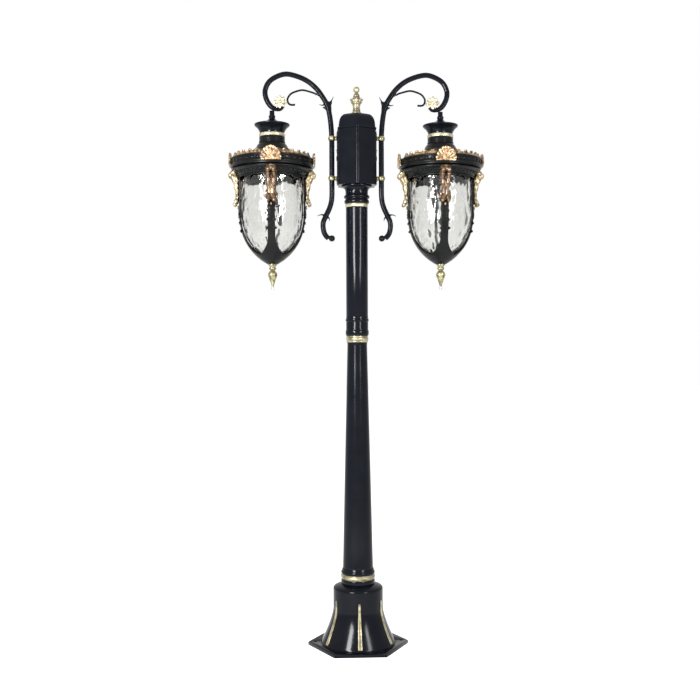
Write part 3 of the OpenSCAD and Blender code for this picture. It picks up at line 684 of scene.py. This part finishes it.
def raise_top(piece, steps):
    """Extrudes the top face through (height, share of width) steps, in mm."""
    highest = max(v.co.z for v in piece.data.vertices)
    pick(piece, "FACE", lambda f: f.normal.z > 0.9 and f.center.z > highest - 0.0001)
    height, share = highest / MM, 1
    for new_height, new_share in steps:
        climb = (0, 0, (new_height - height) * MM)
        bpy.ops.mesh.extrude_region_move(TRANSFORM_OT_translate={"value": climb})
        ratio = new_share / share
        bpy.ops.transform.resize(value=(ratio, ratio, 1), center_override=(0, 0, new_height * MM))
        height, share = new_height, new_share
    bpy.ops.object.mode_set(mode="OBJECT")


# %% Head box and lid
BOX_FLATS = 151
head = hexagon("head", BOX_FLATS, 1870, 2094, 11)
raise_top(head, [(2094, 0.946), (1876, 0.946)])
soften(head, 1.2)
settle(head, gloss_black, "post", "black_paint", "head_box")
keep_flats(head)

lid = hexagon("lid", BOX_FLATS + 6, 2094, 2100, 11)
lid_steps = [
    (2102, 0.965), (2104, 0.945), (2112, 0.937), (2122, 0.925), (2131, 0.9), (2139, 0.862),
    (2146, 0.81), (2151, 0.752), (2155, 0.69), (2157, 0.62),
]
raise_top(lid, lid_steps)
soften(lid, 1)
settle(lid, gloss_black, "lid", "black_paint", "head_lid")
keep_flats(lid)

# %% [markdown]
# The top finial is a small turned urn in champagne gold: a black stub, two rings, a waist,
# a crown of eight leaf tips, a bud and a ball. The stub is a piece of its own, because it
# is painted with the lid.

# %% Top finial
stub_outline = [(0, 2156), (15, 2156), (15, 2161), (13.5, 2163), (0, 2163)]
stub = turned("finial_stub", stub_outline, sides=48)
soften(stub, 0.5)
settle(stub, gloss_black, "lid", "black_paint")

urn = (
    [(0, 2162), (17, 2162)] + bead(17, 2162.5, 2171, 3, 5) + [(15.5, 2173)]
    + bead(15, 2174, 2179, 1.5, 4) + [(14.5, 2183), (14.8, 2193), (16.5, 2200)]
    + bead(17.5, 2202, 2208, 2, 4)
    + [(17, 2210), (19, 2216), (19.5, 2222), (16, 2228), (12.5, 2231)]
    + bead(12, 2232, 2238, 1.6, 4) + [(12, 2240), (10, 2244), (7, 2247), (5, 2249), (0, 2249)]
)
finial = turned("top_finial", urn, sides=64)
soften(finial, 0.3)


# %% [markdown]
# ## Cast ornament
# Leaves, shells and corbels are cast from carved patterns. They are built as a carver
# builds wax: oval lumps are laid on each other, melted into one skin by a voxel remesh,
# and rubbed smooth. The same two helpers serve every ornament of the post.

# %% Casting helpers
def lump(place, size, lean=(0, 0, 0)):
    """One oval lump of wax: its centre and half sizes in mm, and its lean in degrees."""
    deselect()
    bpy.ops.mesh.primitive_uv_sphere_add(
        segments=16, ring_count=10, radius=1, location=[v * MM for v in place]
    )
    wax = bpy.context.object
    wax.scale = [v * MM for v in size]
    wax.rotation_euler = [math.radians(v) for v in lean]
    bpy.ops.object.transform_apply(location=True, rotation=True, scale=True)
    return wax


def join(name, pieces):
    """Joins pieces into the first one and names it."""
    deselect()
    for piece in pieces:
        piece.select_set(True)
    bpy.context.view_layer.objects.active = pieces[0]
    bpy.ops.object.join()
    pieces[0].name = name
    return pieces[0]


def melt(piece, grain_mm, rubs):
    """Melts overlapping lumps into one skin of the given grain and rubs it smooth."""
    apply_modifier(piece, "REMESH", {"mode": "VOXEL", "voxel_size": grain_mm * MM})
    apply_modifier(piece, "SMOOTH", {"factor": 0.5, "iterations": rubs})
    return piece


def turn_copy(piece, degrees, x=LAMP_X):
    """A copy of the piece with its own mesh, turned round the upright axis at x."""
    alone(piece)
    bpy.ops.object.duplicate()
    copy = bpy.context.object
    there = Matrix.Translation((x * MM, 0, 0))
    copy.matrix_world = there @ Matrix.Rotation(math.radians(degrees), 4, "Z") @ there.inverted()
    bpy.ops.object.transform_apply(location=True, rotation=True)
    return copy


def ring_of(name, piece, count, first=0.0, x=LAMP_X):
    """Count copies of a piece round the upright axis at x, joined, without the pattern."""
    copies = [turn_copy(piece, first + 360 / count * k, x) for k in range(count)]
    bpy.data.objects.remove(piece)
    return join(name, copies)


def recast(name, node):
    """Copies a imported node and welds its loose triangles, ready to be worked."""
    source = frame["nodes"][node]
    piece = bpy.data.objects.new(name, source.data.copy())
    bpy.context.collection.objects.link(piece)
    alone(piece)
    bpy.ops.object.mode_set(mode="EDIT")
    bpy.ops.mesh.select_all(action="SELECT")
    bpy.ops.mesh.remove_doubles(threshold=0.00001)
    bpy.ops.object.mode_set(mode="OBJECT")
    return piece


def flatten(piece):
    """Joins triangles that lie in one plane, so that only real edges are bevelled."""
    alone(piece)
    bpy.ops.object.mode_set(mode="EDIT")
    bpy.ops.mesh.select_all(action="SELECT")
    bpy.ops.mesh.dissolve_limited(angle_limit=math.radians(0.3))
    bpy.ops.object.mode_set(mode="OBJECT")


# %% Crown and ball of the top finial
leaf_body = lump((21, 0, 2214), (3, 6, 11), (0, 14, 0))
leaf_tip = lump((24, 0, 2221), (2.5, 4.5, 4), (0, 40, 0))
leaf = join("leaf", [leaf_body, leaf_tip])
crown = ring_of("crown", leaf, 8, 0, 0)
ball = lump((0, 0, 2261), (13.2, 13.2, 13.2))
melt(crown, 0.9, 3)
melt(ball, 1.2, 2)
finial = join("top_finial", [finial, crown, ball])
settle(finial, champagne, "lid", "gold_paint", "top_finial")

# %% [markdown]
# ## Foot plate and trim strips
# Both are flat sheet work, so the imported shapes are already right. They are copied and
# their edges get the small bevel; the plate's triangles are joined into whole faces first.

# %% Foot plate and strips
foot = recast("foot_plate_visual", "foot_plate")
flatten(foot)
soften(foot, 1.5)
settle(foot, gloss_black, "post", "black_paint", "foot_plate")

strips = recast("trim_strips", "skirt_strips")
soften(strips, 0.9)
settle(strips, champagne, "post", "gold_paint", "skirt_strips")

# %% [markdown]
# ## Arms
# An arm is one bar forged round a template, with leaf points welded on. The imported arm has
# the right run, so a copy of it is melted to one skin: the welds close up and the corners
# of the bar go round, as they do under a hammer and a thick coat of powder.

# %% Arms, scrolls and their fittings
CLAMP_HEIGHTS = (1901, 2063)


def welds(sign):
    """Wedges of weld that carry the leaf points, and the weld of the slim scroll."""
    return [
        lump((sign * x, 0, z), size, (0, sign * lean, 0))
        for x, z, size, lean in (
            (108, 2180, (7, 7, 28), 0),
            (111, 2200, (5, 6, 14), 8),
            (118, 2183, (13, 5.5, 6), -8),
            (128, 2187, (11, 4, 4), -10),
            (104, 2206, (4.5, 5, 13), -12),
            (156, 2239, (10, 4.5, 4), -30),
        )
    ]


for side, sign in (("right", 1), ("left", -1)):
    arm = melt(join("arm_bar_" + side, [recast("bar", "arm_" + side)] + welds(sign)), 1.7, 3)
    settle(arm, gloss_black, "post", "black_paint", "arm_" + side)
    scroll = melt(recast("inner_scroll_" + side, "slim_scroll_" + side), 1.1, 3)
    settle(scroll, gloss_black, "post", "black_paint", "slim_scroll_" + side)
    bosses = [lump((sign * 84, 0, z), (9, 9, 9)) for z in CLAMP_HEIGHTS]
    balls = [recast("balls", "clamps_" + side)] + bosses
    clamps = melt(join("ball_clamps_" + side, balls), 0.9, 3)
    settle(clamps, olive_gold, "post", "gold_paint", "clamps_" + side)
    plate = recast("arm_plate_" + side, "bracket_" + side)
    flatten(plate)
    soften(plate, 1)
    settle(plate, gloss_black, "post", "black_paint", "bracket_" + side)

# %% [markdown]
# The rosette is a flower with eight petals on both faces of the bar. One petal is laid out
# and turned round the flower's own axis, which points to the front.

# %% Rosettes
LID_Z = 2094
ROSETTE_X = 101 + 0.868 * (LAMP_X - 101)
ROSETTE_Z = LID_Z + 114
flower = [lump((ROSETTE_X, -16, ROSETTE_Z), (7.5, 5, 7.5))]
for k in range(8):
    turn = math.tau * k / 8
    spot = (ROSETTE_X + 16.5 * math.cos(turn), -12, ROSETTE_Z + 16.5 * math.sin(turn))
    flower.append(lump(spot, (11, 3.4, 6.2), (0, -math.degrees(turn), 0)))
flower.append(lump((ROSETTE_X, -9.5, ROSETTE_Z), (22, 2, 22)))
front = melt(join("front", flower), 1, 2)
back = turn_copy(front, 180, ROSETTE_X)
stalk = lump((ROSETTE_X, 0, ROSETTE_Z), (6.5, 11, 6.5))
rosette = join("rosette_right_flower", [front, back, stalk])
alone(rosette)
bpy.ops.object.duplicate()
rosette_left = bpy.context.object
rosette_left.name = "rosette_left_flower"
bpy.ops.transform.translate(value=(-2 * ROSETTE_X * MM, 0, 0))
settle(rosette, pale_gold, "post", "pale_gold_paint", "rosette_right")
settle(rosette_left, pale_gold, "post", "pale_gold_paint", "rosette_left")

# %% [markdown]
# ## Lantern top
# From the arm's end hang a stem, a conical cap with a sharp lip, a pale gold ring and the
# hood. The hood sweeps down in a hollow curve to an upright rim with two beads.

# %% Stem, cap and neck ring
HOOD_Z = 1937
WIRE_HOLE = 5.1
CAP_Z = 2080
stem_outside = (
    [(12, 2143), (13, 2145)] + bead(12.5, 2147, 2153, 1.5, 4)
    + [(10.5, 2157), (10, 2160), (10, 2173)]
)
stem = turned("stem_right_turned", ring_outline(WIRE_HOLE, stem_outside), LAMP_X, 48)
soften(stem, 0.4)
settle_pair(stem, gloss_black, "post", "black_paint", "stem")

cap_outside = [
    (50, 0), (50, 5), (51.5, 9), (54, 14), (58, 20.5), (63, 26), (68, 30), (71, 33), (72, 35.5),
    (71.5, 38), (68, 39), (60, 40.5), (48, 43), (36, 46.5), (26, 51), (18, 56), (13, 61), (12, 63),
]
cap = turned("cap_right_turned", lift(ring_outline(WIRE_HOLE, cap_outside), CAP_Z), LAMP_X)
soften(cap, 0.4)
settle_pair(cap, gloss_black, "post", "black_paint", "cap")

neck_band = ring_outline(WIRE_HOLE, bead(51, 2066, 2080, 2.4))
neck_ring = turned("neck_ring_right_turned", neck_band, LAMP_X)
soften(neck_ring, 0.3)
settle_pair(neck_ring, pale_gold, "post", "gold_paint", "neck_ring")

# %% [markdown]
# The rim carries a row of forty small eggs between its two beads. They are cast with the
# hood, so they are painted with it.

# %% Hood
hood_outside = (
    [(166, 0), (166, 6)] + bead(166.5, 7, 14, 3.5, 5) + [(166, 15), (165.5, 22), (166, 30)]
    + bead(166.5, 31, 38, 4.2, 5) + [(164, 39.5), (159, 41), (146, 44), (131, 48), (117.5, 52.4)]
    + [(104, 57.5), (92, 63), (82, 67.5), (76, 71)] + bead(70, 71, 80, 5, 5)
    + [(66.5, 84), (60, 96), (55, 101), (52.5, 104)] + bead(52, 105, 111, 2.2, 4)
    + [(52, 116), (52, 129)]
)
hood_inside = [
    (48, 125), (48, 104), (56, 92), (72, 67), (100, 54.5), (130, 44.5), (155, 37), (163, 33),
    (163, 5), (112, 4), (112, 0),
]
hood = turned(
    "hood_right_turned",
    lift([(112, 0)] + hood_outside + [(WIRE_HOLE, 129), (WIRE_HOLE, 125)] + hood_inside, HOOD_Z),
    LAMP_X,
)
soften(hood, 0.4)
egg = lump((LAMP_X + 165.5, 0, HOOD_Z + 22.5), (4, 9.5, 6.5))
eggs = ring_of("eggs", egg, 40)
hood = join("hood_right_turned", [hood, eggs])
settle_pair(hood, cast_black, "post", "black_paint", "hood")

# %% [markdown]
# Four shell medallions stand on the rim. A shell is a half dome with a level foot, and
# nine ribs fan out from the middle of the foot to a scalloped edge. The wax is cut level
# after melting, as a caster files the foot so that it sits on the rim.

# %% Shell medallions
SHELL_R = LAMP_X + 167
SHELL_FOOT = HOOD_Z + 9
wax = [lump((SHELL_R, 0, SHELL_FOOT + 6), (7, 41, 50))]
for k in range(-4, 5):
    fan = math.radians(21 * k)
    spot = (SHELL_R + 4, 21 * math.sin(fan), SHELL_FOOT + 5 + 27 * math.cos(fan))
    wax.append(lump(spot, (4.4, 5.6, 22), (-math.degrees(fan), 0, 0)))
    edge_spot = (SHELL_R + 4, 36 * math.sin(fan), SHELL_FOOT + 7 + 45 * math.cos(fan))
    wax.append(lump(edge_spot, (3.4, 6.8, 5.5), (-math.degrees(fan), 0, 0)))
shell = melt(join("shell", wax), 1.3, 2)
alone(shell)
bpy.ops.object.mode_set(mode="EDIT")
bpy.ops.mesh.select_all(action="SELECT")
bpy.ops.mesh.bisect(
    plane_co=(0, 0, SHELL_FOOT * MM), plane_no=(0, 0, 1), clear_inner=True, use_fill=True
)
bpy.ops.object.mode_set(mode="OBJECT")
shells = ring_of("shells_right_cast", shell, 4)
settle_pair(shells, peach_gold, "post", "gold_paint", "shells")

# %% [markdown]
# Between the medallions lie bands of five acanthus leaves. A leaf has a raised midrib, two
# lobed halves down the roof and an upright crest of lobes behind the rim, which leans
# inwards and curls over at its top.

# %% Roof leaves
wax = []
for along, wide, up in ((0.02, 10, 2), (0.3, 12, 3), (0.6, 9.5, 3), (0.88, 6.5, 2.5)):
    r = 153 - along * 72
    z = 43 + (159 - r) / 83 * 28 - 5 * math.sin(math.pi * (159 - r) / 83)
    for half in (-1, 1):
        spot = (LAMP_X + r, half * wide * 0.48, HOOD_Z + z + up * 0.4)
        wax.append(lump(spot, (12.5, wide * 0.55, 4), (0, 18, -half * 16)))
wax.append(lump((LAMP_X + 118, 0, HOOD_Z + 55), (38, 2.4, 4.6), (0, 18, 0)))
for out, across, up, size, lean in (
    (156, 0, 45, (5, 12, 11), -25),
    (158.5, 0, 45, (4, 2.5, 12), -25),
    (153, 0, 54, (6, 8, 4), -25),
    (161, 0, 35, (5, 12, 5), 0),
    (156, 11.5, 42, (4, 6, 7), -20),
    (156, -11.5, 42, (4, 6, 7), -20),
):
    wax.append(lump((LAMP_X + out, across, HOOD_Z + up), size, (0, lean, 0)))
leaf = melt(join("leaf", wax), 1.2, 2)
band = [turn_copy(leaf, 45 + 12.5 * k) for k in (-2, -1, 0, 1, 2)]
bpy.data.objects.remove(leaf)
band = join("band", band)
leaves = ring_of("roof_leaves_right_cast", band, 4)
settle_pair(leaves, leaf_gold, "post", "gold_paint", "roof_leaves")

# %% [markdown]
# ## Cage
# The cage holds the jar: a band, four ribs that widen to petals, and a cup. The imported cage
# has those openings, so a copy is taken, and raised work is added before it is melted: a
# knuckle and two leaf points on each rib, and a drop under the band between the ribs.

# %% Cage
CAGE_R = 135
cage = recast("cage_right_cast", "cage_right")
RIB_X = LAMP_X + CAGE_R - 1
knuckle = join(
    "knuckle",
    [
        lump((RIB_X, 0, HOOD_Z - 183), (5, 20, 7)),
        lump((RIB_X, 0, HOOD_Z - 195), (4.5, 16, 6)),
        lump((RIB_X, 0, HOOD_Z - 171), (4.5, 16, 6)),
        lump((RIB_X - 2, 15, HOOD_Z - 219), (4, 5, 5), (40, 0, 0)),
        lump((RIB_X - 2, -15, HOOD_Z - 219), (4, 5, 5), (-40, 0, 0)),
        lump((RIB_X - 7, 17, HOOD_Z - 252), (4, 6, 5), (40, 0, 0)),
        lump((RIB_X - 7, -17, HOOD_Z - 252), (4, 6, 5), (-40, 0, 0)),
    ],
)
pendant = join(
    "pendant",
    [
        lump((LAMP_X + CAGE_R - 3, 0, HOOD_Z - 48), (4.5, 6, 8)),
        lump((LAMP_X + CAGE_R - 3, 14, HOOD_Z - 42), (4.5, 6, 6)),
        lump((LAMP_X + CAGE_R - 3, -14, HOOD_Z - 42), (4.5, 6, 6)),
    ],
)
parts = [cage, ring_of("knuckles", knuckle, 4), ring_of("pendants", pendant, 4, 45)]
cage = melt(join("cage_right_cast", parts), 2.2, 2)
settle_pair(cage, cast_black, "lantern", "black_paint", "cage")

# %% [markdown]
# Under the hood's rim a moulding steps in to the cage: a roll, a hollow with a chain of
# small diamonds, and a bead that frames the top of the glass.

# %% Moulding under the rim
moulding_outside = (
    [(134, -40)] + bead(136, -40, -33, 3, 5) + [(138, -31), (142, -25), (148, -18)]
    + [(156, -12)] + bead(158, -11, -4, 4, 5)
)
moulding_ring = lift(ring_outline(133, moulding_outside), HOOD_Z)
moulding = turned("moulding_right_turned", moulding_ring, LAMP_X)
soften(moulding, 0.4)
diamond = lump((LAMP_X + 146.5, 0, HOOD_Z - 21), (3.2, 7.5, 6), (0, 45, 0))
chain = ring_of("chain", diamond, 44)
moulding = join("moulding_right_turned", [moulding, chain])
settle_pair(moulding, cast_black, "lantern", "black_paint")

# %% [markdown]
# ## Jar
# The glass follows the inside of the cage: straight for 161 mm, then a bell. It is turned
# with points 5 mm apart so that there is enough skin to dent. A cell pattern then pushes
# only the outer wall inwards. Its cells are 28 mm wide and, read through a stretched
# ruler, 45 mm tall, which leaves sharp ridges between long hollows, as a hammered mould
# does.

# %% Jar
JAR_R = 126.5
STRAIGHT = 161
BELL = 216.3
GLASS = 4


def bell(radius, depth, steps):
    """Points of the bell from its shoulder to its foot on the axis."""
    return [
        (radius * (1 - (k / steps) ** 2.6) ** 0.78, -STRAIGHT - depth * k / steps)
        for k in range(1, steps + 1)
    ]


JAR_MOUTH = 3
WALL = STRAIGHT - JAR_MOUTH
outer = [(JAR_R, -JAR_MOUTH - k * WALL / 32) for k in range(33)]
outer += bell(JAR_R, BELL, 44)
inner = [(JAR_R - GLASS, -JAR_MOUTH - k * WALL / 12) for k in range(13)]
inner += bell(JAR_R - GLASS, BELL - GLASS, 22)
jar = turned("jar_right_blown", lift(outer + inner[::-1] + outer[:1], HOOD_Z), LAMP_X, 160)
middle = Vector((LAMP_X, 0, HOOD_Z - 190)) * MM
outside = jar.vertex_groups.new(name="outside")
outside.add([v.index for v in jar.data.vertices if v.normal.dot(v.co - middle) > 0], 1, "REPLACE")
dents = bpy.data.textures.new("hammer_marks", "VORONOI")
dents.noise_scale = 0.028
dents.distance_metric = "DISTANCE_SQUARED"
dents.noise_intensity = 1.6
ruler = bpy.data.objects.new("dent_ruler", None)
bpy.context.collection.objects.link(ruler)
ruler.scale = (1, 1, 1.6)
bpy.context.view_layer.update()
dent_settings = {
    "texture": dents,
    "texture_coords": "OBJECT",
    "texture_coords_object": ruler,
    "vertex_group": "outside",
    "mid_level": 1.0,
    "strength": 3.8 * MM,
}
apply_modifier(jar, "DISPLACE", dent_settings)
bpy.data.objects.remove(ruler)
settle_pair(jar, jar_glass, "lantern", "hammered_glass", "jar")

# %% [markdown]
# ## Corbels
# Under the hood, where the ribs meet the band, sit four tall cast corbels. Each one has a
# rolled head with an outward lobe, two halves with a groove between them, a narrow waist
# and a foot that flares like a fish tail, with small side leaves above it.

# %% Corbels
CORBEL_R = LAMP_X + CAGE_R
wax = [
    lump((CORBEL_R + 5, 0, HOOD_Z - 72), (8, 12, 72)),
    lump((CORBEL_R + 3, 0, HOOD_Z - 156), (4, 4, 9)),
    lump((CORBEL_R + 24, 0, HOOD_Z - 12), (10, 11, 8)),
    lump((CORBEL_R + 30, 0, HOOD_Z - 22), (9, 8, 9)),
]
for half in (-1, 1):
    for out, across, down, size, lean in (
        (30, 11, 27, (12.5, 10, 13), 0),
        (18, 12, 16, (17, 10.5, 11), 0),
        (15, 12, 46, (13, 9.5, 24), 26),
        (10, 10, 76, (9, 9, 25), 12),
        (7, 7, 106, (6.5, 7, 25), 0),
        (11, 10, 131, (8, 8.5, 17), -16),
        (16, 12, 144, (8, 8, 8), -30),
        (5, 17, 116, (4.5, 5.5, 13), 0),
        (6, 20, 130, (4, 5.5, 9), 0),
        (8, 19, 40, (6, 4.5, 16), 20),
        (6, 17, 66, (4.5, 4.5, 14), 10),
    ):
        spot = (CORBEL_R + out, half * across, HOOD_Z - down)
        wax.append(lump(spot, size, (0, lean, 0)))
corbel = melt(join("corbel", wax), 1.2, 2)
front_pair = ring_of("front_corbels_right", turn_copy(corbel, 0), 2, 90)
side_pair = ring_of("side_corbels_right", corbel, 2)
# Painted reflection: the front pair takes the darker copy of the lacquer and the side pair the
# paler one.
settle_pair(front_pair, front_corbel_gold_dark_reflection, "lantern", "gold_paint", "ornaments")
settle_pair(side_pair, side_corbel_gold_pale_reflection, "lantern", "gold_paint", "ornaments")

# %% [markdown]
# ## Drop finial
# The drop closes the cup from below: a collar, a neck ring and an urn that tapers to a
# bare metal bud.

# %% Drop finial
drop_outside = (
    [(0, 2), (16, 2), (17.5, 0), (17, -4), (13, -8), (11.5, -12)]
    + [(r, -z) for r, z in bead(11.5, 13, 21, 3.6, 5)]
    + [(9.5, -24), (11, -27), (15, -31), (18, -36), (19, -42), (18, -48), (15, -56)]
    + [(11.5, -65), (8.5, -74), (6, -82), (4.5, -88), (4.2, -92), (0, -92)]
)
CUP_END = HOOD_Z - STRAIGHT - 224.8
drop = turned("drop_right_turned", lift(drop_outside, CUP_END), LAMP_X, 64)
soften(drop, 0.3)
settle_pair(drop, olive_gold, "lantern", "gold_paint", "drop")
tip_outside = [(0, -89), (4.4, -89), (5.8, -92), (5.6, -96), (4.4, -101), (2.4, -105), (0, -106)]
tip = turned("drop_tip_right", lift(tip_outside, CUP_END), LAMP_X, 24)
settle_pair(tip, zinc, "lantern", "steel")
